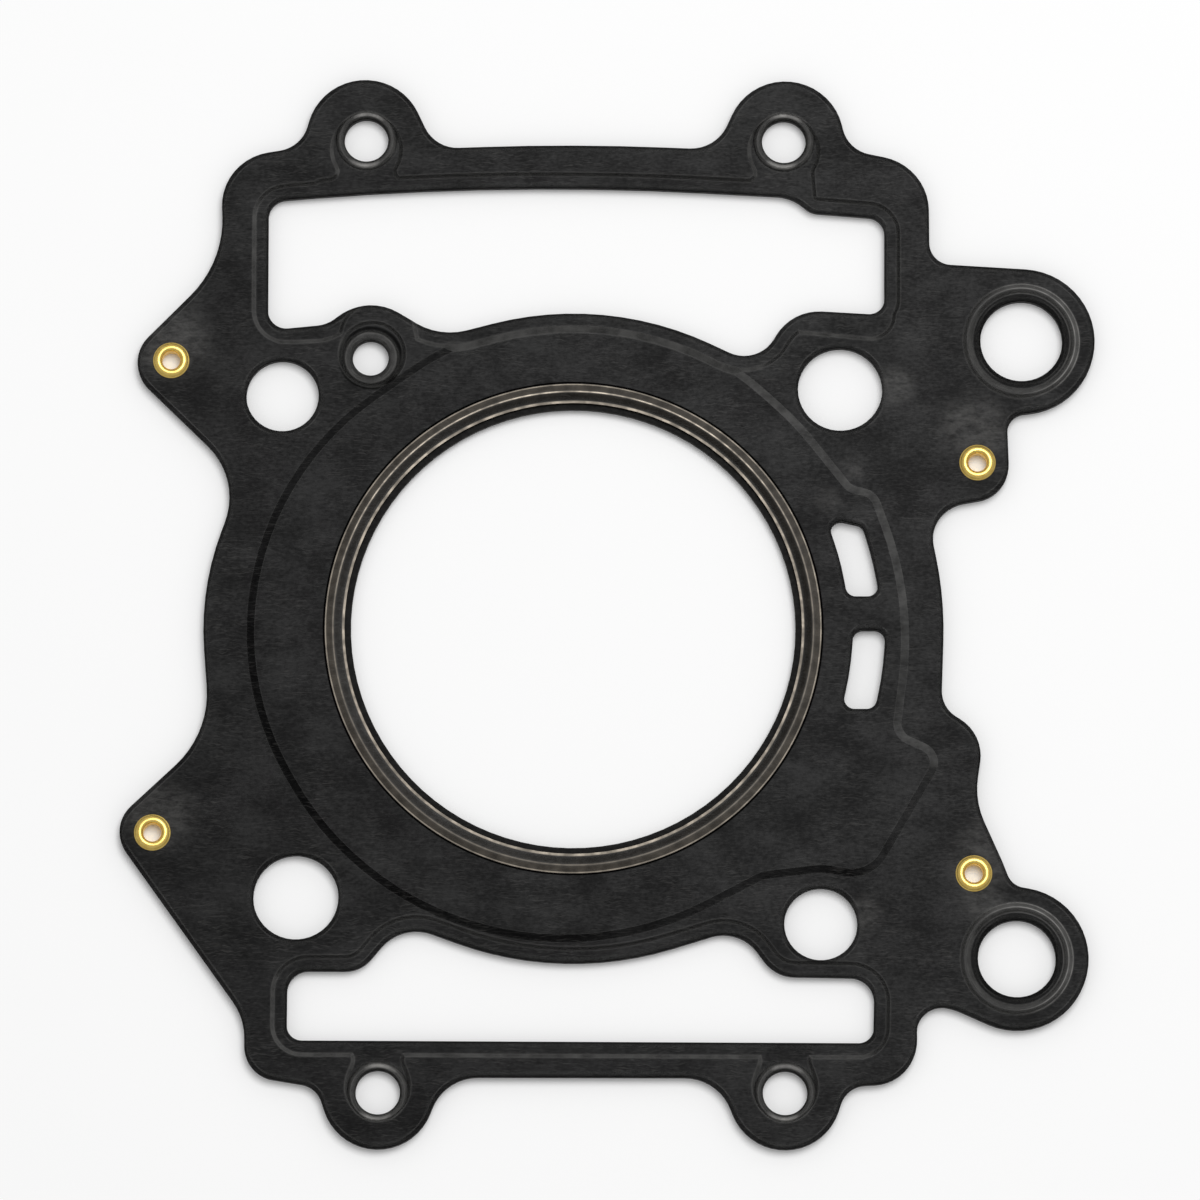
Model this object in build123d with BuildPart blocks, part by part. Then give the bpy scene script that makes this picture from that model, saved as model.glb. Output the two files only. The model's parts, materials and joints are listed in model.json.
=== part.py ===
from build123d import *
from math import asin, atan2, cos, degrees, hypot, pi, radians, sin, sqrt
import os

os.makedirs("parts", exist_ok=True)

# Millimetres. X to the right, Y to the top rail, Z up. The origin is the bore centre, halfway through the stack.
# A place on the sheet is an angle round the bore in degrees and a distance beyond the bore's edge,
# so the whole pattern moves out with the bore.

# sheet stack
sheet_thickness = 0.3
carrier_thickness = 0.7
field_rise = 0.2
jacket_rise = 0.2
bore_bead_height = 0.3
port_bead_height = 0.25
ear_pad_height = 0.4

# widths of the slopes between the levels
rim_slope = 0.65
jacket_slope = 1.3
port_bead_crest = 0.3

# bore
carrier_bore_radius = 36.65
sheet_step_back = 1.05
bore_rim_width = 0.5
bore_bead_width = 2.8
bore_bead_crest = 0.3

# rails and arcs that keep their distance from the bore
right_side_land = 24.4
left_side_land = 10.4
left_side_centre = -13.9
top_rail_land = 44.75
top_rail_radius = 400
upper_window_land = 16.25
upper_window_top_land = 37.6
upper_window_top_radius = 475
lower_window_land = 19.05
rim_width = 2.0

# coolant slots, with the height of their ends
slot_land = 8.75
slot_width = 5.35
slot_shift = 0.7
slot_corner = 1.7
upper_slot_top = 17.4
upper_slot_lean = 0.5
upper_slot_bottom = 5.2
lower_slot_top = -0.3
lower_slot_bottom = -13.6

# ear bolt holes
ear_hole_radius = 3.65
ear_wall = 6.05
lower_ear_wall = 5.6
upper_ear_lift = 0.6
ear_pad_inset = 0.2
ear_pad_width = 1.65
ear_pad_crest = 0.5
ear_upper_left = (112.7, 52.6)
ear_upper_right = (66.9, 52.6)
ear_lower_left = (247.5, 46.7)
ear_lower_right = (294.2, 47.9)

# recess round each ear bolt hole: its radius, its shift towards the window, and its necked mouth
upper_recess_radius = 5.45
upper_recess_shift = 1.6
upper_neck_reach = 6.1
lower_recess_radius = 4.85
lower_recess_shift = 1.0
lower_neck_reach = 5.65
neck_corner = 1.95
neck_shift = 5.3
mouth_reach = 7.5
mouth_shift = 8.0
mouth_corner = 0.8
jog_mouth_reach = 4.0
jog_mouth_shift = 9.6

# stud and dowel holes
stud_radius = 6.0
dowel_radius = 7.0
stud_jacket_wall = 3.1
dowel_rim_left = (54.2, 29.4)
dowel_rim_right = (46.9, 35.4)
dowel_rim_radius = 3.65
stud_upper_left = (141.0, 25.3)
stud_lower_right = (309.5, 27.2)
dowel_upper_right = (42.2, 23.0)
dowel_lower_left = (224.6, 27.2)

# ports with their bead rings
upper_port_radius = 6.8
lower_port_radius = 6.4
port_wall = 5.35
port_rim_width = 1.3
port_bead_width = 1.6
upper_port = (33.0, 51.9)
lower_port = (322.9, 54.5)

# small oil hole in its boss
oil_hole_radius = 3.0
oil_boss_wall = 5.9
oil_recess_radius = 5.0
oil_pad_wall = 1.7
oil_pad_slope = 0.5
oil_hole = (126.5, 19.8)
oil_recess = (125.9, 20.2)

# eyelets that hold the sheets together
eyelet_hole_radius = 1.5
eyelet_wall = 0.4
eyelet_fit = 0.1
eyelet_flange_radius = 3.0
eyelet_crest_radius = 2.1
eyelet_dome_height = 0.6
eyelet_lip = 0.25
eyelet_left_upper = (146.0, 43.7)
eyelet_right_upper = (22.5, 35.7)
eyelet_left_lower = (206.3, 40.4)
eyelet_right_lower = (328.1, 40.8)

# tabs round the eyelets: their walls, and how far their centres lie inwards of the eyelets
upper_tab_wall = 3.0
left_lower_tab_wall = 2.75
right_lower_tab_wall = 2.2
left_upper_tab_inset = 0.5
right_upper_tab_inset = 0.9
left_lower_tab_inset = 0.4
right_lower_tab_inset = 0.2

# levels that follow from the stack
sheet_bore_radius = carrier_bore_radius + sheet_step_back
carrier_top = carrier_thickness / 2
field_under = carrier_top + field_rise
jacket_under = field_under + jacket_rise
field_top = field_under + sheet_thickness
bead_top = jacket_under + sheet_thickness + bore_bead_height

BULGE = 1
HOLLOW = -1
UP = 1
DOWN = -1
SLACK = 0.02
PASSES = 3
LIFTED = radians(300)


def place(angle, land):
    """The point at an angle round the bore and a distance beyond its edge."""
    reach = carrier_bore_radius + land
    return (reach * cos(radians(angle)), reach * sin(radians(angle)))


def further(spot, distance):
    """The same angle round the bore, so much further out."""
    angle, land = spot
    return (angle, land + distance)


def knob(angle, land, radius):
    """A roller inside the outline: a rounded corner."""
    return (*place(angle, land), radius, BULGE)


def dent(angle, land, radius):
    """A roller outside the outline: a hollow."""
    return (*place(angle, land), radius, HOLLOW)


def rail(angle, land, radius):
    """A long flat arc whose crown lies at a distance beyond the bore's edge."""
    return (*place(angle, land - radius), radius, BULGE)


def round_bore(land, turn, x=0, y=0):
    """An arc that keeps its distance from the bore, about a centre near the bore's own."""
    return (x, y, carrier_bore_radius + land, turn)


def settle(rollers, growth):
    """Grow each roller outwards, then shrink the crowded ones until each pair has a common tangent."""
    wheels = [[x, y, radius + turn * growth, turn] for x, y, radius, turn in rollers]
    for index in range(PASSES * len(wheels)):
        first = wheels[(index - 1) % len(wheels)]
        second = wheels[index % len(wheels)]
        gap = hypot(second[0] - first[0], second[1] - first[1]) - SLACK
        small = first if first[2] < second[2] else second
        large = second if small is first else first
        if first[3] != second[3]:
            small[2] = min(small[2], gap - large[2])
        else:
            large[2] = min(large[2], small[2] + gap)
    return wheels


def bends(wheels):
    """The heading of the straight run after each roller, and how far the belt bends round the roller."""
    headings = []
    for index, (x, y, radius, turn) in enumerate(wheels):
        x2, y2, radius2, turn2 = wheels[(index + 1) % len(wheels)]
        lean = asin((turn2 * radius2 - turn * radius) / hypot(x2 - x, y2 - y))
        headings.append(atan2(y2 - y, x2 - x) - lean)
    sweeps = []
    for index, (x, y, radius, turn) in enumerate(wheels):
        sweeps.append((turn * (headings[index] - headings[index - 1])) % (2 * pi))
    return headings, sweeps


def belt(rollers, growth=0.0, mode=Mode.ADD):
    """A closed outline run like a belt round rollers: x, y, radius and side, anticlockwise."""
    wheels = settle(rollers, growth)
    headings, sweeps = bends(wheels)
    # a belt pulled tight lifts off a roller that no longer bends it
    while max(sweeps) > LIFTED:
        wheels.pop(sweeps.index(max(sweeps)))
        wheels = settle(wheels, 0)
        headings, sweeps = bends(wheels)
    with BuildLine() as path:
        spots = []
        for index, (x, y, radius, turn) in enumerate(wheels):
            arc = []
            for share in (0, 0.5, 1):
                angle = headings[index - 1] + turn * sweeps[index] * share
                arc.append((x + turn * radius * sin(angle), y - turn * radius * cos(angle)))
            spots.append(arc)
        for index, (start, middle, end) in enumerate(spots):
            ThreePointArc(start, middle, end)
            Line(end, spots[(index + 1) % len(spots)][0])
    make_face(path.edges(), mode=mode)


def ring_spot(radius, height):
    """The point at a height on a circle round the bore, on its right side."""
    return (sqrt(radius ** 2 - height ** 2), height)


def slot_rollers(land, top, lean, bottom):
    """A coolant slot that follows the bore, with its top end leaning inwards."""
    inner = carrier_bore_radius + land
    outer = inner + slot_width
    inset = slot_corner + SLACK
    low = bottom + slot_corner
    high = top - slot_corner
    return [
        (*ring_spot(inner + inset, high + lean), slot_corner, BULGE),
        round_bore(land, HOLLOW),
        (*ring_spot(inner + inset, low), slot_corner, BULGE),
        (*ring_spot(outer - inset, low), slot_corner, BULGE),
        round_bore(land + slot_width, BULGE),
        (*ring_spot(outer - inset, high), slot_corner, BULGE),
    ]


def ear_recess(ear, way, radius, shift, neck_reach, end_reach=mouth_reach, end_shift=mouth_shift):
    """The recess at an ear, with a neck and a mouth that open up or down into the window's rim."""
    x, y = ear
    return [
        (x, y + way * shift, radius, BULGE),
        (x + way * neck_reach, y + way * neck_shift, neck_corner, HOLLOW),
        (x + way * mouth_reach, y + way * mouth_shift, mouth_corner, BULGE),
        (x - way * end_reach, y + way * end_shift, mouth_corner, BULGE),
        (x - way * neck_reach, y + way * neck_shift, neck_corner, HOLLOW),
    ]


def slope_angle(run, rise):
    """The draft angle of a slope that runs so far while it rises so far."""
    return degrees(atan2(run, rise))


ear_boss = ear_hole_radius + ear_wall
lower_ear_boss = ear_hole_radius + lower_ear_wall

# the slab that the levels are cut from reaches past the furthest ear on every side
slab_side = 2 * (carrier_bore_radius + ear_upper_left[1] + upper_ear_lift + ear_boss)

outline = [
    knob(*further(ear_upper_left, upper_ear_lift), ear_boss),
    dent(120.0, 62.85, 5.8),
    knob(124.7, 50.05, 9.05),
    dent(138.1, 66.15, 18.2),
    knob(*further(eyelet_left_upper, -left_upper_tab_inset), eyelet_flange_radius + upper_tab_wall),
    dent(162.5, 36.0, 12.5),
    round_bore(left_side_land, BULGE, x=left_side_centre),
    dent(188.3, 40.65, 16.2),
    knob(*further(eyelet_left_lower, -left_lower_tab_inset), eyelet_flange_radius + left_lower_tab_wall),
    dent(226.6, 57.15, 10.7),
    knob(235.2, 47.9, 5.5),
    dent(240.5, 55.0, 4.2),
    knob(*ear_lower_left, lower_ear_boss),
    dent(259.3, 47.2, 8.0),
    dent(282.5, 47.85, 8.0),
    knob(*ear_lower_right, lower_ear_boss),
    dent(300.9, 56.7, 4.3),
    knob(305.6, 47.5, 7.3),
    dent(312.0, 53.7, 4.2),
    dent(309.4, 57.15, 9.6),
    knob(*lower_port, lower_port_radius + port_wall),
    dent(331.7, 47.8, 3.4),
    knob(*further(eyelet_right_lower, -right_lower_tab_inset), eyelet_flange_radius + right_lower_tab_wall),
    dent(341.4, 47.75, 13.6),
    knob(340.4, 26.9, 7.15),
    dent(350.8, 29.9, 5.1),
    round_bore(right_side_land, BULGE),
    dent(12.8, 30.6, 6.4),
    knob(*further(eyelet_right_upper, -right_upper_tab_inset), eyelet_flange_radius + upper_tab_wall),
    dent(23.7, 45.25, 3.2),
    knob(*upper_port, upper_port_radius + port_wall),
    dent(45.9, 53.6, 3.7),
    knob(54.7, 49.5, 9.3),
    dent(59.5, 62.45, 5.7),
    knob(*further(ear_upper_right, upper_ear_lift), ear_boss),
    dent(77.4, 53.0, 6.6),
    rail(89.8, top_rail_land, top_rail_radius),
    dent(102.5, 52.45, 6.0),
]

upper_window = [
    knob(124.5, upper_window_top_land + 9.7, 3.1),
    knob(131.7, 34.9, 3.05),
    knob(127.3, 34.3, 5.9),
    dent(*oil_hole, oil_hole_radius + oil_boss_wall),
    knob(108.6, 27.4, 11.0),
    round_bore(upper_window_land, HOLLOW),
    knob(61.2, 22.1, 5.8),
    dent(47.8, 24.05, 8.3),
    knob(48.4, 37.3, 2.5),
    knob(53.7, upper_window_top_land + 8.2, 2.85),
    dent(60.9, upper_window_top_land + 9.75, 4.0),
    knob(63.0, upper_window_top_land - 0.3, 7.0),
    rail(89.4, upper_window_top_land, upper_window_top_radius),
]

lower_window = [
    knob(246.0, 26.6, 7.4),
    dent(234.0, 26.9, 5.6),
    knob(234.4, 37.75, 3.5),
    knob(236.1, 42.85, 2.5),
    knob(305.1, 44.55, 2.5),
    knob(306.2, 40.2, 3.9),
    dent(305.2, 26.5, 6.35),
    knob(293.1, 26.2, 6.8),
    round_bore(lower_window_land, HOLLOW),
]

upper_slot = slot_rollers(slot_land, upper_slot_top, upper_slot_lean, upper_slot_bottom)
lower_slot = slot_rollers(slot_land + slot_shift, lower_slot_top, 0, lower_slot_bottom)

# the oil hole's boss, which stays at the field's level between its recess and the upper window
oil_boss = [
    knob(123.9, 22.4, 6.0),
    knob(120.9, 14.1, 1.5),
    dent(114.5, 17.2, 3.2),
    knob(117.3, 23.9, 1.2),
]

# middle of the stepped bead round the coolant jacket
jacket = [
    round_bore(13.65, BULGE),
    round_bore(9.95, BULGE, y=5.0),
    round_bore(11.55, BULGE, x=-5.0, y=-0.5),
    round_bore(14.65, BULGE, x=-1.5, y=-0.4),
    dent(305.9, 17.9, 3.0),
    dent(*stud_lower_right, stud_radius + stud_jacket_wall),
    knob(322.7, 20.8, 6.0),
    knob(338.2, 24.1, 2.9),
    dent(344.2, 22.0, 3.1),
    round_bore(19.85, BULGE, x=-1.8, y=-1.7),
    knob(22.7, 14.65, 3.0),
    dent(28.9, 17.75, 3.4),
]

upper_ears = [place(*ear_upper_left), place(*ear_upper_right)]
lower_ears = [place(*ear_lower_left), place(*ear_lower_right)]
upper_recess = (upper_recess_radius, upper_recess_shift, upper_neck_reach)
ear_recesses = [
    ear_recess(upper_ears[0], DOWN, *upper_recess),
    ear_recess(upper_ears[1], DOWN, *upper_recess, jog_mouth_reach, jog_mouth_shift),
]
for ear in lower_ears:
    ear_recesses.append(ear_recess(ear, UP, lower_recess_radius, lower_recess_shift, lower_neck_reach))
eyelets = {
    "eyelet_left_upper": place(*eyelet_left_upper),
    "eyelet_right_upper": place(*eyelet_right_upper),
    "eyelet_left_lower": place(*eyelet_left_lower),
    "eyelet_right_lower": place(*eyelet_right_lower),
}


def pierce(bore_radius):
    """The flat shape of one sheet: the outline less every opening."""
    belt(outline)
    for opening in (upper_window, lower_window, upper_slot, lower_slot):
        belt(opening, mode=Mode.SUBTRACT)
    Circle(bore_radius, mode=Mode.SUBTRACT)
    with Locations(*upper_ears, *lower_ears):
        Circle(ear_hole_radius, mode=Mode.SUBTRACT)
    with Locations(place(*stud_upper_left), place(*stud_lower_right)):
        Circle(stud_radius, mode=Mode.SUBTRACT)
    with Locations(place(*dowel_upper_right), place(*dowel_lower_left)):
        Circle(dowel_radius, mode=Mode.SUBTRACT)
    with Locations(place(*upper_port)):
        Circle(upper_port_radius, mode=Mode.SUBTRACT)
    with Locations(place(*lower_port)):
        Circle(lower_port_radius, mode=Mode.SUBTRACT)
    with Locations(place(*oil_hole)):
        Circle(oil_hole_radius, mode=Mode.SUBTRACT)
    with Locations(*eyelets.values()):
        Circle(eyelet_hole_radius + eyelet_wall + eyelet_fit, mode=Mode.SUBTRACT)


def bead_ring(spot, inner, width, crest, base, height):
    """A raised ring round a hole, sloping down to both sides."""
    x, y = spot
    middle = x + inner + width / 2
    with BuildSketch(Plane.XZ.offset(-y)) as section:
        with BuildLine():
            Polyline(
                (x + inner, base - sheet_thickness),
                (x + inner, base),
                (middle - crest / 2, base + height),
                (middle + crest / 2, base + height),
                (x + inner + width, base),
                (x + inner + width, base - sheet_thickness),
                close=True,
            )
        make_face()
    revolve(section.sketch, axis=Axis((x, y, 0), (0, 0, 1)))


# the pressing form under the top sheet: its upper face is the sheet's underside
rim_slope_angle = slope_angle(rim_slope, field_rise)
jacket_slope_angle = slope_angle(jacket_slope, jacket_rise)

with BuildPart() as form:
    with BuildSketch(Plane.XY):
        Rectangle(slab_side, slab_side)
    extrude(amount=field_under)
    with BuildSketch(Plane.XY.offset(field_under)):
        belt(jacket, growth=jacket_slope / 2)
    extrude(amount=jacket_rise, taper=jacket_slope_angle)

    # the sheet lies flat on the carrier round the windows, the ears and the oil hole
    with BuildSketch(Plane.XY.offset(carrier_top)):
        belt(upper_window, growth=rim_width)
    extrude(amount=field_rise + jacket_rise, taper=-rim_slope_angle, mode=Mode.SUBTRACT)
    with BuildSketch(Plane.XY.offset(carrier_top)):
        belt(lower_window, growth=rim_width)
    extrude(amount=field_rise + jacket_rise, taper=-rim_slope_angle, mode=Mode.SUBTRACT)
    for recess in ear_recesses:
        with BuildSketch(Plane.XY.offset(carrier_top)):
            belt(recess)
        extrude(amount=field_rise + jacket_rise, taper=-rim_slope_angle, mode=Mode.SUBTRACT)
    with BuildSketch(Plane.XY.offset(carrier_top)):
        belt([knob(*dowel_rim_left, dowel_rim_radius), knob(*dowel_rim_right, dowel_rim_radius)])
    extrude(amount=field_rise + jacket_rise, taper=-rim_slope_angle, mode=Mode.SUBTRACT)

    # the boss of the oil hole comes back up to the field's level, and holds a recess with a raised pad
    with BuildSketch(Plane.XY.offset(carrier_top)):
        belt(oil_boss)
    extrude(amount=field_rise, taper=rim_slope_angle)
    with BuildSketch(Plane.XY.offset(carrier_top)):
        with Locations(place(*oil_recess)):
            Circle(oil_recess_radius)
    extrude(amount=field_rise + jacket_rise, taper=-rim_slope_angle, mode=Mode.SUBTRACT)
    with BuildSketch(Plane.XY.offset(carrier_top)):
        with Locations(place(*oil_hole)):
            Circle(oil_hole_radius + oil_pad_wall)
    extrude(amount=field_rise, taper=slope_angle(oil_pad_slope, field_rise))

    # beads round the bore, the ears and the ports
    for ear in upper_ears + lower_ears:
        inner = ear_hole_radius - ear_pad_inset
        bead_ring(ear, inner, ear_pad_width, ear_pad_crest, carrier_top, ear_pad_height)
    for port, radius in ((upper_port, upper_port_radius), (lower_port, lower_port_radius)):
        inner = radius + port_rim_width
        bead_ring(place(*port), inner, port_bead_width, port_bead_crest, field_under, port_bead_height)
    inner = sheet_bore_radius + bore_rim_width
    bead_ring((0, 0), inner, bore_bead_width, bore_bead_crest, jacket_under, bore_bead_height)

with BuildPart() as blank:
    with BuildSketch():
        pierce(sheet_bore_radius)
    extrude(amount=bead_top + sheet_thickness)

with BuildPart() as top_bead_plate:
    add(form.part.moved(Location((0, 0, sheet_thickness))))
    add(form.part, mode=Mode.SUBTRACT)
    add(blank.part, mode=Mode.INTERSECT)
top_bead_plate.part.label = "top_bead_plate"
export_step(top_bead_plate.part, "parts/top_bead_plate.step")

with BuildPart() as carrier_plate:
    with BuildSketch(Plane.XY.offset(-carrier_top)):
        pierce(carrier_bore_radius)
    extrude(amount=carrier_thickness)
carrier_plate.part.label = "carrier_plate"
export_step(carrier_plate.part, "parts/carrier_plate.step")

with BuildPart() as bottom_bead_plate:
    add(mirror(top_bead_plate.part, about=Plane.XY))
bottom_bead_plate.part.label = "bottom_bead_plate"
export_step(bottom_bead_plate.part, "parts/bottom_bead_plate.step")


def eyelet_section(spot):
    """Half the section of one eyelet: rolled dome above, flat flange below."""
    x, y = spot
    inner = x + eyelet_hole_radius
    barrel = inner + eyelet_wall
    edge = x + eyelet_flange_radius
    shoulder = edge - eyelet_lip
    crest = x + eyelet_crest_radius
    lip_top = field_top + eyelet_lip
    dome_top = field_top + eyelet_dome_height
    foot = -bead_top
    with BuildSketch(Plane.XZ.offset(-y)) as section:
        with BuildLine():
            Line((inner, foot + eyelet_wall), (inner, field_top))
            TangentArc((crest, dome_top), (inner, field_top), tangent=(-1, 0))
            TangentArc((crest, dome_top), (shoulder, lip_top), tangent=(1, 0))
            Polyline(
                (shoulder, lip_top),
                (edge, lip_top),
                (edge, field_top),
                (barrel, field_top),
                (barrel, -field_top),
                (edge, -field_top),
                (edge, foot + eyelet_lip),
                (shoulder, foot),
                (barrel, foot),
                (inner, foot + eyelet_wall),
            )
        make_face()
    return section.sketch


for name, spot in eyelets.items():
    with BuildPart() as eyelet:
        revolve(eyelet_section(spot), axis=Axis((*spot, 0), (0, 0, 1)))
    eyelet.part.label = name
    export_step(eyelet.part, f"parts/{name}.step")
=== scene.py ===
import json
from math import asin, cos, pi, radians, sin

import bpy
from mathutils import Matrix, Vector


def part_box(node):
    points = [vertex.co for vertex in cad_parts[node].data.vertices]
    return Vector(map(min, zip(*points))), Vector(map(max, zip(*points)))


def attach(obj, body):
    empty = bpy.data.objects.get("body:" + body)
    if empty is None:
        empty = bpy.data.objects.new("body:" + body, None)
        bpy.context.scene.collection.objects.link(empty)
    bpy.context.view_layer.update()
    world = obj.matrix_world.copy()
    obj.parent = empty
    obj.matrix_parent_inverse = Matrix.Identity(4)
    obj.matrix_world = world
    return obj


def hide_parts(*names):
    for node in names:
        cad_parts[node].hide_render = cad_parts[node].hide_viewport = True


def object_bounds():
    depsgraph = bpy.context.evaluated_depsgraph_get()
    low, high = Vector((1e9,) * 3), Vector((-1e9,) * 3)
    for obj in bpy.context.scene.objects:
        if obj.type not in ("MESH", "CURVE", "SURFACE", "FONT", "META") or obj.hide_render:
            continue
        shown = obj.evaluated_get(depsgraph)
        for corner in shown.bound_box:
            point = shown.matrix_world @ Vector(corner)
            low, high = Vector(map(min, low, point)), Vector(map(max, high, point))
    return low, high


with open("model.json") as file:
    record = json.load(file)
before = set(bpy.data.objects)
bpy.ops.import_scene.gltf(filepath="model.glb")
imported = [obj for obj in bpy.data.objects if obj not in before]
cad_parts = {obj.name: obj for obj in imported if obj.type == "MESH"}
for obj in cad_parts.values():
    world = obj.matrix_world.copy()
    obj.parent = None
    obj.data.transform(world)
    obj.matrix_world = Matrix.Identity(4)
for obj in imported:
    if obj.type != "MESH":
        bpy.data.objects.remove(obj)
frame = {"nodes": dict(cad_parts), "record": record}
cad_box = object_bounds()

MM = 0.001

# the photograph's camera: its aim on the sheet, its tilt and its distance
CAMERA_AIM = Vector((4.42 * MM, 4.77 * MM, 0.0))
CAMERA_TILT = radians(10.0)
CAMERA_DISTANCE = 1.485
CAMERA_LENS = 270.0
CAMERA_SENSOR = 36.0
CAMERA_REACH = 20.0

# the light: a wide lamp almost overhead, towards the top right, and an even sky
LAMP_PLACE = (0.26, 0.42, 1.52)
LAMP_SIDE = 0.86
LAMP_POWER = 13.5
SKY_STRENGTH = 0.47

FLOOR_SIDE = 6.0
FLOOR_WHITE = (0.97, 0.97, 0.97, 1)
FLOOR_ROUGHNESS = 0.9
FLOOR_LIFT = 0.06

# holes whose rims are worn, by the names of their mounts; the bore lies at the origin
EARS = ("ear_bolt_upper_left", "ear_bolt_upper_right", "ear_bolt_lower_left", "ear_bolt_lower_right")
UPPER_EARS = EARS[:2]
PORTS = ("port_upper", "port_lower")
OIL_HOLE = "oil_hole"
BORE_CENTRE = (0.0, 0.0)

# the width of the flat rim between a port and the bead round it, in millimetres
PORT_RIM = 1.3

# ways towards the light, across the sheet, along which the painted highlights on the beads and slopes are
# strongest, and the way up
BORE_LIT_WAY = (-0.1, 0.995)
PORT_LIT_WAY = (0.92, 0.38)
EAR_LIT_WAY = (0.1, 0.995)
SLOPE_LIT_WAY = (0.72, 0.69)
UP = (0, 0, 1)

# wear and painted highlight: distances from a hole's centre in millimetres, each with its share of bare
# steel; the bright lines on the bore's rim, the crests and the bead's foot are painted highlight
BORE_WEAR_AND_HIGHLIGHT = (
    (37.4, 0.48), (38.02, 0.48), (38.15, 0.012), (39.7, 0.03), (39.78, 0.08), (40.68, 0.08),
    (40.78, 0.5), (40.88, 0.5), (40.96, 0.0),
)
BORE_CREST_HIGHLIGHT = ((39.42, 0.0), (39.54, 0.6), (39.66, 0.6), (39.76, 0.0))
EAR_WEAR = ((3.6, 0.01), (3.95, 0.025), (4.5, 0.045), (4.95, 0.03), (5.1, 0.0))
EAR_CREST_HIGHLIGHT = ((3.9, 0.0), (4.2, 0.34), (4.6, 0.34), (4.85, 0.0))
OIL_HOLE_WEAR = ((2.9, 0.02), (3.1, 0.045), (4.2, 0.05), (4.4, 0.0))

# the same for a port, from the start of its bead: where the bead starts, crests and ends
PORT_WEAR_AND_HIGHLIGHT = (
    (-0.2, 0.0), (0.0, 0.08), (0.12, 0.02), (0.68, 0.035), (0.8, 0.34), (0.94, 0.04),
    (1.35, 0.035), (1.5, 0.3), (1.65, 0.0),
)

# dark: the same distances, each with its share of black: painted shade in the crease at the foot of the
# bore's bead and on the outer slope round the oil hole, and a darker rim round each port
BORE_FOOT_SHADE_LINE = ((40.92, 0.0), (41.0, 1.0), (41.2, 1.0), (41.35, 0.0))
OIL_HOLE_SHADE = ((4.3, 0.0), (4.45, 0.8), (5.2, 0.8), (5.5, 0.0))
PORT_BLACK = ((-2.0, 0.6), (-0.3, 0.6), (0.0, 0.0))

# light lines, painted highlight with some wear at the cut edges: how far the surface bends, each with its
# share of lighter colour, and the reach that is felt
CREASE_REACH = 0.4
CREASE_LINE = ((0.0, 0.0), (0.0015, 0.0), (0.005, 0.22), (0.02, 0.22), (0.03, 0.0))
EDGE_REACH = 1.4
EDGE_LINE = ((0.0, 0.0), (0.025, 0.0), (0.04, 0.7), (0.11, 0.8), (0.14, 0.0))
CARRIER_REACH = 0.3
CARRIER_LINE = ((0.0, 0.0), (0.03, 0.0), (0.12, 0.6), (0.25, 0.6), (0.3, 0.2))
BEND_SAMPLES = 6

# bands: two limits of a value, then the shares that it runs between, or else from nought to one
BORE_HIGHLIGHT_SIDE = (-0.3, 0.9, 0.42, 1.0)
PORT_HIGHLIGHT_SIDE = (-0.5, 0.7, 0.12, 1.0)
EAR_HIGHLIGHT_ENDS = (0.72, 1.0)
SLOPE_TOWARDS_LIGHT = (0.05, 0.14, 0.0, 0.42)
SHADED_SLOPE = (-0.14, -0.03, 0.25, 1.0)
UPPER_CREASE = (0.7, 1.0, 0.7, 1.5)
FAINT_NEAR_EAR = (6.0, 9.0, 0.1, 1.0)
# painted shade: black on the cut walls and along the edges beside them
CUT_BLACK = (0.45, 0.8, 1.0, 0.0)
EDGE_BLACK = (0.13, 0.17)
OUTSIDE_BORE_RIM = (38.2, 38.4)
OUTSIDE_BORE_BEAD = (41.5, 42.0)
BARE_METAL = (0.3, 0.75, 0.0, 0.3)

# patterns: length and width in millimetres, turn about Z, then the noise's detail and roughness
GRAIN = (0.75, 0.5, 0.0, 3.0, 0.65)
FIBRE = (1.5, 0.4, 0.06, 3.0, 0.6)
MOTTLE = (10.0, 7.0, 0.0, 4.0, 0.6)
SCRATCH_WANDERING = (2.4, 2.4, 0.0, 2.0, 0.5)
SCRATCH_PATCHES = (8.0, 8.0, 0.0, 2.0, 0.5)
SCUFF_CLOUD = (2.3, 1.1, 0.9, 6.0, 0.75)
SLOPE_PATCHES = (2.2, 2.2, 0.0, 4.0, 0.5)
RING_PATCHES = (2.0, 2.0, 0.0, 3.0, 0.5)
CARRIER_CLOUD = (0.9, 0.6, 0.0, 3.0, 0.6)
TARNISH = (1.1, 1.1, 0.0, 4.0, 0.6)
HANDLING_MARKS = (0.35, 0.2, 0.6, 2.0, 0.5)

# the bands that sharpen these patterns
SCRATCH_BAND = (0.62, 0.74)
SCRATCH_PATCH_BAND = (0.35, 0.65, 0.35, 1.0)
SCUFF_BAND = (0.32, 0.74, 0.1, 1.0)
SLOPE_PATCH_BAND = (0.25, 0.75, 0.35, 1.35)
RING_PATCH_BAND = (0.25, 0.75, 0.55, 1.25)
TARNISH_BAND = (0.35, 0.7)

# the coat's fine pattern is grain with fibres, and its tone is that with the mottle
GRAIN_SHARE = 0.7
FINE_SHARE = 0.55

# scratches: dashes that lie four ways, as patterns, how far they wander in millimetres, and their share
SCRATCHES = (
    (3.2, 0.17, 0.12, 1.0, 0.5), (2.2, 0.16, 0.85, 1.0, 0.5),
    (2.4, 0.16, -0.7, 1.0, 0.5), (2.0, 0.15, 1.5, 1.0, 0.5),
)
SCRATCH_WANDER = 1.3
SCRATCH_SHARE = 0.3

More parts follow.
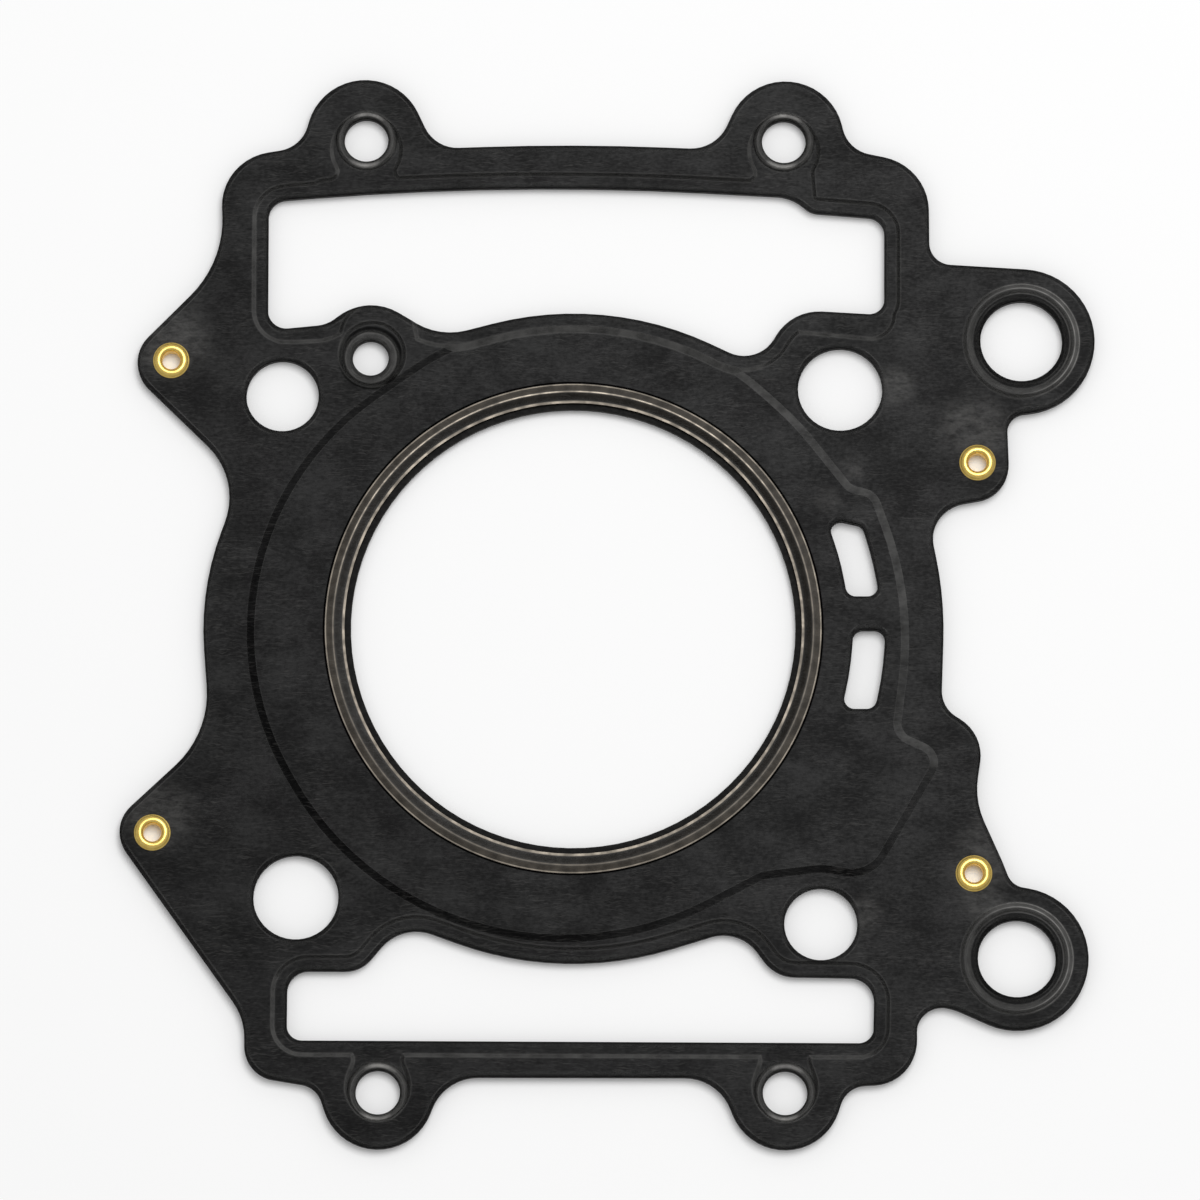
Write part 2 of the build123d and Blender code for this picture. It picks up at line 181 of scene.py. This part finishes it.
# scuffs: centre, reach and strength, full as far as a share of the reach
SCUFFS = (
    (-66.6, 48.5, 8.5, 0.75), (66.2, 33.5, 8.0, 0.7), (-68.0, -31.0, 8.0, 0.6), (67.5, -38.0, 8.0, 0.6),
    (53.0, 40.5, 4.5, 0.65), (47.8, -48.0, 4.0, 0.6), (42.0, 21.5, 3.0, 0.5), (46.0, 26.5, 3.0, 0.5),
    (67.0, -45.5, 5.0, 0.6),
)
SCUFF_CORE = 0.3

# colours, in linear light
COAT_DARK = (0.0026, 0.0026, 0.0027)
COAT_LIGHT = (0.006, 0.006, 0.0061)
# black for painted shade on cut walls, edges and creases, and for the dark rims round the ports
COAT_BLACK = (0.0006, 0.0006, 0.0006)
COAT_SCRATCHED = (0.07, 0.068, 0.065)
COAT_SCUFFED = (0.085, 0.083, 0.08)
# the coat's painted highlight, on slopes that face the light and along edges and creases
COAT_HIGHLIGHT = (0.1, 0.099, 0.096)
BARE_STEEL = (0.66, 0.575, 0.47)
DULL_STEEL = (0.62, 0.605, 0.58)
# the carrier, near black, partly painted shade for its ledge under the sheets
CARRIER_SHADE_DARK = (0.004, 0.0038, 0.0036)
CARRIER_SHADE_LIGHT = (0.0062, 0.006, 0.0056)
CUT_STEEL = (0.05, 0.046, 0.042)
BRASS_BRIGHT = (0.89, 0.65, 0.19)
BRASS_DULL = (0.8, 0.55, 0.14)

# finishes: the limits of a pattern, then what roughness or gloss runs between
COAT_TONES = (0.38, 0.64)
COAT_ROUGHNESS = (0.38, 0.64, 0.34, 0.3)
COAT_GLOSS = (0.36, 0.66, 0.045, 0.1)
COAT_BUMP = 0.3
COAT_BUMP_DEPTH = 0.02 * MM
CARRIER_TONES = (0.35, 0.65)
CARRIER_ROUGHNESS = (0.35, 0.65, 0.5, 0.4)
CARRIER_GLOSS = 0.06
BRASS_ROUGHNESS = (0.3, 0.7, 0.29, 0.38)

# copies of the solids: merged points, edges that are softened, and creases that stay sharp
SOLID_MERGE = 0.0005 * MM
SOFTENED_FROM = radians(40)
SOFTENED_STEPS = 2
SHEET_CREASE = radians(8)
SHEET_EDGE = 0.06 * MM
CARRIER_CREASE = radians(20)
CARRIER_EDGE = 0.05 * MM

# section of an eyelet, in millimetres: radii, heights, and the softening of its lip
BARREL_BORE = 1.5
BARREL_OUTSIDE = 1.9
CREST_RADIUS = 2.1
SHOULDER_RADIUS = 2.82
FLANGE_RADIUS = 3.0
SHEET_TOP = 0.85
LIP_TOP = 1.05
DOME_TOP = 1.45
FOOT = -1.35
LIP_SOFTENED = 0.1

# its model: sides, steps of each arc, merged points, and the crease that stays sharp
EYELET_SIDES = 96
EYELET_ARC_STEPS = 10
EYELET_MERGE = 0.001 * MM
EYELET_CREASE = radians(35)

mounts = {mount["name"]: mount for mount in frame["record"]["mounts"]}


def hole_centre(hole):
    """Where a hole lies on the sheet, in millimetres."""
    x, y, _ = mounts[hole]["pos_m"]
    return (x / MM, y / MM)


def bead_start(port):
    """The radius at which the bead round a port starts, in millimetres."""
    return mounts[port]["dims"]["r_mm"] + PORT_RIM


class Wiring:
    """The nodes of one material: adds them and joins them up."""

    def __init__(self, name):
        self.material = bpy.data.materials.new(name)
        self.material.use_nodes = True
        self.nodes = self.material.node_tree.nodes
        self.links = self.material.node_tree.links
        self.nodes.clear()
        self.shader = self.add("ShaderNodeBsdfPrincipled")
        self.output = self.add("ShaderNodeOutputMaterial")
        self.join(self.shader.outputs["BSDF"], self.output.inputs["Surface"])

    def add(self, kind, **settings):
        node = self.nodes.new(kind)
        for key, value in settings.items():
            setattr(node, key, value)
        return node

    def join(self, source, target):
        self.links.new(source, target)

    def feed(self, value, target):
        """Join a socket, or set a plain value. A plain colour gets its alpha."""
        if isinstance(value, (int, float)):
            target.default_value = value
        elif isinstance(value, tuple):
            target.default_value = value if len(value) == len(target.default_value) else (*value, 1)
        else:
            self.join(value, target)

    def shade(self, name, source):
        """Join a socket to the shader's input of that name."""
        self.join(source, self.shader.inputs[name])

    def math(self, operation, first, second=None):
        node = self.add("ShaderNodeMath", operation=operation)
        self.feed(first, node.inputs[0])
        if second is not None:
            self.feed(second, node.inputs[1])
        return node.outputs[0]

    def times(self, first, second):
        return self.math("MULTIPLY", first, second)

    def rest(self, share):
        """What a share leaves of one."""
        return self.math("SUBTRACT", 1.0, share)

    def most(self, shares):
        """The greatest of several shares."""
        top = shares[0]
        for share in shares[1:]:
            top = self.math("MAXIMUM", top, share)
        return top

    def weigh(self, share, first, second):
        """The sum of two values, the first by its share and the second by the rest."""
        return self.math("ADD", self.times(first, share), self.times(second, 1 - share))

    def vector(self, operation, first, second, output=0):
        node = self.add("ShaderNodeVectorMath", operation=operation)
        self.feed(first, node.inputs[0])
        self.feed(second, node.inputs[1])
        return node.outputs[output]

    def along(self, vector, way):
        """How far a vector goes in a way."""
        return self.vector("DOT_PRODUCT", vector, way, "Value")

    def place(self):
        """The piece's own coordinates, in millimetres."""
        coordinates = self.add("ShaderNodeTexCoord")
        return self.vector("MULTIPLY", coordinates.outputs["Object"], (1 / MM, 1 / MM, 1 / MM))

    def normal(self):
        """The way that the surface faces."""
        return self.add("ShaderNodeNewGeometry").outputs["Normal"]

    def distance(self, flat, centre):
        """The distance from a place on the sheet, in millimetres."""
        return self.vector("DISTANCE", flat, (*centre, 0.0), "Value")

    def lean(self, flat, centre, way):
        """How far a place lies from a centre along a way across the sheet, as a share of its distance."""
        unit = self.add("ShaderNodeVectorMath", operation="NORMALIZE")
        self.join(self.vector("SUBTRACT", flat, (*centre, 0.0)), unit.inputs[0])
        return self.along(unit.outputs[0], (*way, 0.0))

    def pattern(self, place, along, across, turn, detail, roughness, output="Fac"):
        """Noise so many millimetres long and wide, turned about Z."""
        mapping = self.add("ShaderNodeMapping")
        mapping.inputs["Rotation"].default_value = (0, 0, turn)
        mapping.inputs["Scale"].default_value = (1 / along, 1 / across, 1 / along)
        self.join(place, mapping.inputs["Vector"])
        noise = self.add("ShaderNodeTexNoise")
        noise.inputs["Scale"].default_value = 1.0
        noise.inputs["Detail"].default_value = detail
        noise.inputs["Roughness"].default_value = roughness
        self.join(mapping.outputs["Vector"], noise.inputs["Vector"])
        return noise.outputs[output]

    def band(self, value, low, high, from_share=0.0, to_share=1.0):
        """A smooth run from one share to the other while the value goes from one limit to the other."""
        node = self.add("ShaderNodeMapRange", interpolation_type="SMOOTHSTEP")
        node.inputs["From Min"].default_value = low
        node.inputs["From Max"].default_value = high
        node.inputs["To Min"].default_value = from_share
        node.inputs["To Max"].default_value = to_share
        self.join(value, node.inputs["Value"])
        return node.outputs["Result"]

    def curve(self, value, stops):
        """A share that follows stops along a value, each a value and a share."""
        low, high = stops[0][0], stops[-1][0]
        spread = self.add("ShaderNodeMapRange")
        spread.inputs["From Min"].default_value = low
        spread.inputs["From Max"].default_value = high
        self.join(value, spread.inputs["Value"])
        ramp = self.add("ShaderNodeValToRGB")
        elements = ramp.color_ramp.elements
        for index, (position, share) in enumerate(stops):
            where = (position - low) / (high - low)
            if index == 0:
                element = elements[0]
            elif index == len(stops) - 1:
                element = elements[-1]
            else:
                element = elements.new(where)
            element.position = where
            element.color = (share, share, share, 1)
        self.join(spread.outputs["Result"], ramp.inputs["Fac"])
        return ramp.outputs["Color"]

    def ring(self, flat, hole, stops, start=0.0):
        """A share that follows stops outwards from a radius round a hole."""
        stops = [(start + out, share) for out, share in stops]
        return self.curve(self.distance(flat, hole_centre(hole)), stops)

    def blend(self, share, first, second):
        """A mix of two colours, each a socket or a plain colour."""
        # a Mix node has its colours at inputs 6 and 7, and their mix at output 2
        node = self.add("ShaderNodeMix", data_type="RGBA")
        self.feed(share, node.inputs[0])
        self.feed(first, node.inputs[6])
        self.feed(second, node.inputs[7])
        return node.outputs[2]

    def bend(self, reach):
        """How far the surface bends within a reach in millimetres: nought on a flat."""
        rounded = self.add("ShaderNodeBevel", samples=BEND_SAMPLES)
        rounded.inputs["Radius"].default_value = reach * MM
        return self.rest(self.vector("DOT_PRODUCT", rounded.outputs["Normal"], self.normal(), "Value"))


def scratches(wire, place):
    """Fine light dashes that lie several ways and wander a little."""
    wander = wire.pattern(place, *SCRATCH_WANDERING, output="Color")
    wandered = wire.vector("ADD", place, wire.vector("MULTIPLY", wander, (SCRATCH_WANDER,) * 3))
    dashes = [wire.band(wire.pattern(wandered, *dash), *SCRATCH_BAND) for dash in SCRATCHES]
    patches = wire.band(wire.pattern(place, *SCRATCH_PATCHES), *SCRATCH_PATCH_BAND)
    return wire.times(wire.times(wire.most(dashes), patches), SCRATCH_SHARE)


def scuffs(wire, place, flat):
    """Grey clouds where the sheet was handled and where the eyelets were pressed."""
    cloud = wire.band(wire.pattern(place, *SCUFF_CLOUD), *SCUFF_BAND)
    near = []
    for x, y, reach, strength in SCUFFS:
        near.append(wire.band(wire.distance(flat, (x, y)), SCUFF_CORE * reach, reach, strength, 0.0))
    return wire.times(wire.most(near), cloud)


def highlit_slopes(wire, place, facing, bore):
    """The painted highlight on slopes that face the top right, towards the lamp, broken into patches, away
    from the bore.
    """
    slope = wire.times(wire.band(facing, *SLOPE_TOWARDS_LIGHT), wire.band(bore, *OUTSIDE_BORE_BEAD))
    return wire.times(slope, wire.band(wire.pattern(place, *SLOPE_PATCHES), *SLOPE_PATCH_BAND))


def dark_rims_and_shade(wire, flat):
    """The dark rims round the ports, and the painted shade on the outer slope round the oil hole."""
    rims = [wire.ring(flat, port, PORT_BLACK, bead_start(port)) for port in PORTS]
    rims.append(wire.ring(flat, OIL_HOLE, OIL_HOLE_SHADE))
    return wire.most(rims)


def highlight_lines(wire, flat, height, edge):
    """The thin light line of painted highlight along each cut edge and upper crease, with some wear at the
    cut edges, faint beside the upper ears.
    """
    crease = wire.times(wire.curve(wire.bend(CREASE_REACH), CREASE_LINE), wire.band(height, *UPPER_CREASE))
    for ear in UPPER_EARS:
        crease = wire.times(crease, wire.band(wire.distance(flat, hole_centre(ear)), *FAINT_NEAR_EAR))
    return wire.math("MAXIMUM", crease, wire.curve(edge, EDGE_LINE))


def painted_shade_edges(wire, upright, edge, bore):
    """Painted shade in black: on the cut walls, along the edge that leads to them away from the bore, and in
    the crease outside the bore's bead.
    """
    return wire.most([
        wire.band(upright, *CUT_BLACK),
        wire.times(wire.band(edge, *EDGE_BLACK), wire.band(bore, *OUTSIDE_BORE_RIM)),
        wire.curve(bore, BORE_FOOT_SHADE_LINE),
    ])


def bore_wear_and_highlight(wire, flat, bore):
    """Bare steel on the rim, the crest and the foot of the bore's bead, with painted highlight there, on the
    crest strongest towards the top.
    """
    lit_share = wire.band(wire.lean(flat, BORE_CENTRE, BORE_LIT_WAY), *BORE_HIGHLIGHT_SIDE)
    crest = wire.times(wire.curve(bore, BORE_CREST_HIGHLIGHT), lit_share)
    return wire.math("MAXIMUM", wire.curve(bore, BORE_WEAR_AND_HIGHLIGHT), crest)


def port_wear_and_highlight(wire, flat, port):
    """Light lines where a port's bead starts, crests and ends: bare steel with painted highlight, strongest
    towards the right.
    """
    lit_share = wire.band(wire.lean(flat, hole_centre(port), PORT_LIT_WAY), *PORT_HIGHLIGHT_SIDE)
    return wire.times(wire.ring(flat, port, PORT_WEAR_AND_HIGHLIGHT, bead_start(port)), lit_share)


def ear_wear_and_highlight(wire, flat, ear):
    """A rubbed ring round an ear's hole, with painted highlight on its crest at its top and bottom."""
    ends = wire.math("ABSOLUTE", wire.lean(flat, hole_centre(ear), EAR_LIT_WAY))
    crest = wire.times(wire.ring(flat, ear, EAR_CREST_HIGHLIGHT), wire.band(ends, *EAR_HIGHLIGHT_ENDS))
    return wire.math("MAXIMUM", wire.ring(flat, ear, EAR_WEAR), crest)


def bare_rings_and_highlight(wire, flat, bore):
    """Where the coat is rubbed off the beads, with painted highlight on them: round the bore, the ports, the
    ears and the oil hole.
    """
    rings = [bore_wear_and_highlight(wire, flat, bore)]
    rings += [port_wear_and_highlight(wire, flat, port) for port in PORTS]
    rings += [ear_wear_and_highlight(wire, flat, ear) for ear in EARS]
    rings.append(wire.ring(flat, OIL_HOLE, OIL_HOLE_WEAR))
    return wire.times(wire.most(rings), wire.band(wire.pattern(flat, *RING_PATCHES), *RING_PATCH_BAND))


def coated_sheet():
    """Black rubber coated steel, rubbed bright on the beads round the bore, the ports and the ears, with
    painted highlight and painted shade.
    """
    wire = Wiring("coated_sheet")
    place = wire.place()
    flat = wire.vector("MULTIPLY", place, (1, 1, 0))
    height = wire.math("ABSOLUTE", wire.along(place, UP))
    normal = wire.normal()
    facing = wire.along(normal, (*SLOPE_LIT_WAY, 0.0))
    upright = wire.math("ABSOLUTE", wire.along(normal, UP))
    bore = wire.distance(flat, BORE_CENTRE)
    edge = wire.bend(EDGE_REACH)

    # the rubber: fine grain, short fibres and a cloudy mottle
    fine = wire.weigh(GRAIN_SHARE, wire.pattern(place, *GRAIN), wire.pattern(place, *FIBRE))
    tone = wire.weigh(FINE_SHARE, fine, wire.pattern(place, *MOTTLE))

    # its colour, from the rubber out to the bare steel, with painted highlight and painted shade
    dark_rims = dark_rims_and_shade(wire, flat)
    black = painted_shade_edges(wire, upright, edge, bore)
    # bare steel where the coat is rubbed off, with painted highlight on the beads
    bare = wire.times(bare_rings_and_highlight(wire, flat, bore), wire.rest(black))
    steel = wire.blend(wire.band(bore, *OUTSIDE_BORE_BEAD), BARE_STEEL, DULL_STEEL)
    coat = wire.blend(wire.band(tone, *COAT_TONES), COAT_DARK, COAT_LIGHT)
    coat = wire.blend(scratches(wire, place), coat, COAT_SCRATCHED)
    coat = wire.blend(scuffs(wire, place, flat), coat, COAT_SCUFFED)
    # painted highlight on the slopes that face the light
    coat = wire.blend(highlit_slopes(wire, place, facing, bore), coat, COAT_HIGHLIGHT)
    # dark rims round the ports, and painted shade round the oil hole
    coat = wire.blend(dark_rims, coat, COAT_BLACK)
    # painted highlight along the cut edges and upper creases, with some wear at the cut edges
    coat = wire.blend(highlight_lines(wire, flat, height, edge), coat, COAT_HIGHLIGHT)
    # painted shade in black on the cut walls, the edges and the crease outside the bore's bead
    coat = wire.blend(black, coat, COAT_BLACK)
    wire.shade("Base Color", wire.blend(bare, coat, steel))

    # slopes that face away from the light shine less, as painted shade, and so do the dark rims and the
    # black edges
    gloss = wire.times(wire.band(tone, *COAT_GLOSS), wire.rest(black))
    gloss = wire.times(gloss, wire.band(facing, *SHADED_SLOPE))
    wire.shade("Specular IOR Level", wire.times(gloss, wire.rest(dark_rims)))
    wire.shade("Metallic", wire.band(bare, *BARE_METAL))
    wire.shade("Roughness", wire.band(tone, *COAT_ROUGHNESS))

    bump = wire.add("ShaderNodeBump")
    bump.inputs["Strength"].default_value = COAT_BUMP
    bump.inputs["Distance"].default_value = COAT_BUMP_DEPTH
    wire.join(fine, bump.inputs["Height"])
    wire.shade("Normal", bump.outputs["Normal"])
    return wire.material


def carrier_steel():
    """Near-black steel of the middle plate, dark partly as painted shade on its ledge under the sheets, a
    little cloudy, with a thin light line of cut steel and painted highlight at its cut edge.
    """
    wire = Wiring("carrier_steel")
    cloud = wire.pattern(wire.place(), *CARRIER_CLOUD)
    # near black, partly painted shade on the ledge under the sheets
    steel = wire.blend(wire.band(cloud, *CARRIER_TONES), CARRIER_SHADE_DARK, CARRIER_SHADE_LIGHT)
    # a light line of cut steel with painted highlight along the cut edge
    line = wire.curve(wire.bend(CARRIER_REACH), CARRIER_LINE)
    wire.shade("Base Color", wire.blend(line, steel, CUT_STEEL))
    wire.shade("Roughness", wire.band(cloud, *CARRIER_ROUGHNESS))
    wire.shader.inputs["Metallic"].default_value = 0.0
    wire.shader.inputs["Specular IOR Level"].default_value = CARRIER_GLOSS
    return wire.material


def eyelet_brass():
    """Bright rolled brass with a breath of tarnish and fine handling marks."""
    wire = Wiring("eyelet_brass")
    place = wire.place()
    tarnish = wire.band(wire.pattern(place, *TARNISH), *TARNISH_BAND)
    wire.shade("Base Color", wire.blend(tarnish, BRASS_BRIGHT, BRASS_DULL))
    wire.shade("Roughness", wire.band(wire.pattern(place, *HANDLING_MARKS), *BRASS_ROUGHNESS))
    wire.shader.inputs["Metallic"].default_value = 1.0
    return wire.material


def floor_paper():
    """Matt white. Seen straight or in a reflection it is a little whiter."""
    wire = Wiring("floor")
    wire.shader.inputs["Base Color"].default_value = FLOOR_WHITE
    wire.shader.inputs["Roughness"].default_value = FLOOR_ROUGHNESS
    wire.shader.inputs["Specular IOR Level"].default_value = 0.0
    path = wire.add("ShaderNodeLightPath")
    seen = wire.most([path.outputs[f"Is {way} Ray"] for way in ("Camera", "Glossy", "Transmission")])
    lift = wire.add("ShaderNodeEmission")
    wire.join(wire.times(seen, FLOOR_LIFT), lift.inputs["Strength"])
    both = wire.add("ShaderNodeAddShader")
    wire.join(wire.shader.outputs["BSDF"], both.inputs[0])
    wire.join(lift.outputs["Emission"], both.inputs[1])
    wire.join(both.outputs["Shader"], wire.output.inputs["Surface"])
    return wire.material


def select_only(piece):
    bpy.ops.object.select_all(action="DESELECT")
    piece.select_set(True)
    bpy.context.view_layer.objects.active = piece


def hand_over(piece, node, material):
    """The piece takes the solid's place, with its material."""
    piece.data.materials.clear()
    piece.data.materials.append(material)
    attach(piece, "root")
    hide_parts(node)


def dress(node, name, material, crease, edge_width):
    """A merged copy of a solid takes its place: smooth along its curves, sharp at its creases."""
    piece = bpy.data.objects.new(name, frame["nodes"][node].data.copy())
    bpy.context.scene.collection.objects.link(piece)
    select_only(piece)
    bpy.ops.object.mode_set(mode="EDIT")
    bpy.ops.mesh.select_all(action="SELECT")
    bpy.ops.mesh.remove_doubles(threshold=SOLID_MERGE)
    bpy.ops.object.mode_set(mode="OBJECT")
    if piece.data.has_custom_normals:
        bpy.ops.mesh.customdata_custom_splitnormals_clear()
    rounded = piece.modifiers.new("edges", "BEVEL")
    rounded.width = edge_width
    rounded.segments = SOFTENED_STEPS
    rounded.limit_method = "ANGLE"
    rounded.angle_limit = SOFTENED_FROM
    rounded.use_clamp_overlap = True
    bpy.ops.object.modifier_apply(modifier=rounded.name)
    bpy.ops.object.shade_smooth_by_angle(angle=crease)
    hand_over(piece, node, material)


def arc(centre, radius, first, last):
    """Points along an arc of a section, as radius and height, after its first point."""
    steps = range(1, EYELET_ARC_STEPS + 1)
    turns = [first + (last - first) * step / EYELET_ARC_STEPS for step in steps]
    return [(centre[0] + radius * cos(turn), centre[1] + radius * sin(turn)) for turn in turns]


def eyelet_section():
    """The closed section of an eyelet: up the bore, over the dome, out to the lip, back under the flange."""
    roll = CREST_RADIUS - BARREL_BORE
    run, drop = SHOULDER_RADIUS - CREST_RADIUS, DOME_TOP - LIP_TOP
    fall = (run * run + drop * drop) / (2 * drop)
    section = [(BARREL_BORE, FOOT + BARREL_OUTSIDE - BARREL_BORE), (BARREL_BORE, DOME_TOP - roll)]
    section += arc((CREST_RADIUS, DOME_TOP - roll), roll, pi, pi / 2)
    section += arc((CREST_RADIUS, DOME_TOP - fall), fall, pi / 2, pi / 2 - asin(run / fall))
    section += [
        (FLANGE_RADIUS - 0.6 * LIP_SOFTENED, LIP_TOP - 0.4 * LIP_SOFTENED),
        (FLANGE_RADIUS, LIP_TOP - LIP_SOFTENED),
        (FLANGE_RADIUS, SHEET_TOP),
        (BARREL_OUTSIDE, SHEET_TOP),
        (BARREL_OUTSIDE, -SHEET_TOP),
        (FLANGE_RADIUS, -SHEET_TOP),
        (FLANGE_RADIUS, -LIP_TOP),
        (SHOULDER_RADIUS, FOOT),
        (BARREL_OUTSIDE, FOOT),
        section[0],
    ]
    return [(radius * MM, height * MM) for radius, height in section]


def eyelet_model():
    """One rolled eyelet: a ring of edges, extruded and scaled from point to point of its section."""
    section = eyelet_section()
    radius, height = section[0]
    bpy.ops.object.select_all(action="DESELECT")
    bpy.ops.mesh.primitive_circle_add(vertices=EYELET_SIDES, radius=radius, location=(0, 0, height))
    model = bpy.context.object
    bpy.ops.object.transform_apply(location=True)
    bpy.ops.object.mode_set(mode="EDIT")
    bpy.ops.mesh.select_all(action="SELECT")
    for next_radius, next_height in section[1:]:
        bpy.ops.mesh.extrude_edges_move(TRANSFORM_OT_translate={"value": (0, 0, next_height - height)})
        wider = next_radius / radius
        bpy.ops.transform.resize(value=(wider, wider, 1), center_override=(0, 0, 0))
        radius, height = next_radius, next_height
    bpy.ops.mesh.select_all(action="SELECT")
    bpy.ops.mesh.remove_doubles(threshold=EYELET_MERGE)
    bpy.ops.mesh.normals_make_consistent(inside=False)
    bpy.ops.object.mode_set(mode="OBJECT")
    bpy.ops.object.shade_smooth_by_angle(angle=EYELET_CREASE)
    return model


def eyelets(material):
    """The four eyelets, each a copy of one model."""
    model = eyelet_model()
    for corner in ("left_upper", "right_upper", "left_lower", "right_lower"):
        node = "eyelet_" + corner
        low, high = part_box(node)
        piece = bpy.data.objects.new(node + "_brass", model.data.copy())
        bpy.context.scene.collection.objects.link(piece)
        piece.location = ((low.x + high.x) / 2, (low.y + high.y) / 2, 0)
        select_only(piece)
        bpy.ops.object.transform_apply(location=True)
        hand_over(piece, node, material)
    bpy.data.objects.remove(model)


def floor():
    """The pale floor that the gasket lies on."""
    bpy.ops.object.select_all(action="DESELECT")
    bpy.ops.mesh.primitive_plane_add(size=FLOOR_SIDE, location=(0, 0, cad_box[0][2]))
    plane = bpy.context.object
    plane.name = "floor"
    plane.data.materials.append(floor_paper())


def light():
    """The soft square lamp, which faces the sheet, and the sky."""
    lamp = bpy.data.lights.new("top_lamp", "AREA")
    lamp.shape = "SQUARE"
    lamp.size = LAMP_SIDE
    lamp.energy = LAMP_POWER
    holder = bpy.data.objects.new("top_lamp", lamp)
    bpy.context.scene.collection.objects.link(holder)
    holder.location = LAMP_PLACE
    holder.rotation_euler = (-Vector(LAMP_PLACE)).to_track_quat("-Z", "Y").to_euler()
    world = bpy.data.worlds.new("studio")
    bpy.context.scene.world = world
    world.use_nodes = True
    sky = world.node_tree.nodes["Background"]
    sky.inputs["Color"].default_value = (1, 1, 1, 1)
    sky.inputs["Strength"].default_value = SKY_STRENGTH


def camera():
    """The photograph's view."""
    data = bpy.data.cameras.new("camera")
    data.lens = CAMERA_LENS
    data.sensor_width = CAMERA_SENSOR
    data.clip_end = CAMERA_REACH
    holder = bpy.data.objects.new("camera", data)
    bpy.context.scene.collection.objects.link(holder)
    holder.rotation_euler = (CAMERA_TILT, 0, 0)
    back = holder.rotation_euler.to_matrix() @ Vector((0, 0, CAMERA_DISTANCE))
    holder.location = CAMERA_AIM + back
    bpy.context.scene.camera = holder


coat = coated_sheet()
dress("top_bead_plate", "top_sheet", coat, SHEET_CREASE, SHEET_EDGE)
dress("bottom_bead_plate", "bottom_sheet", coat, SHEET_CREASE, SHEET_EDGE)
dress("carrier_plate", "carrier", carrier_steel(), CARRIER_CREASE, CARRIER_EDGE)
eyelets(eyelet_brass())

floor()
light()
camera()
bpy.context.scene.view_settings.view_transform = "Standard"
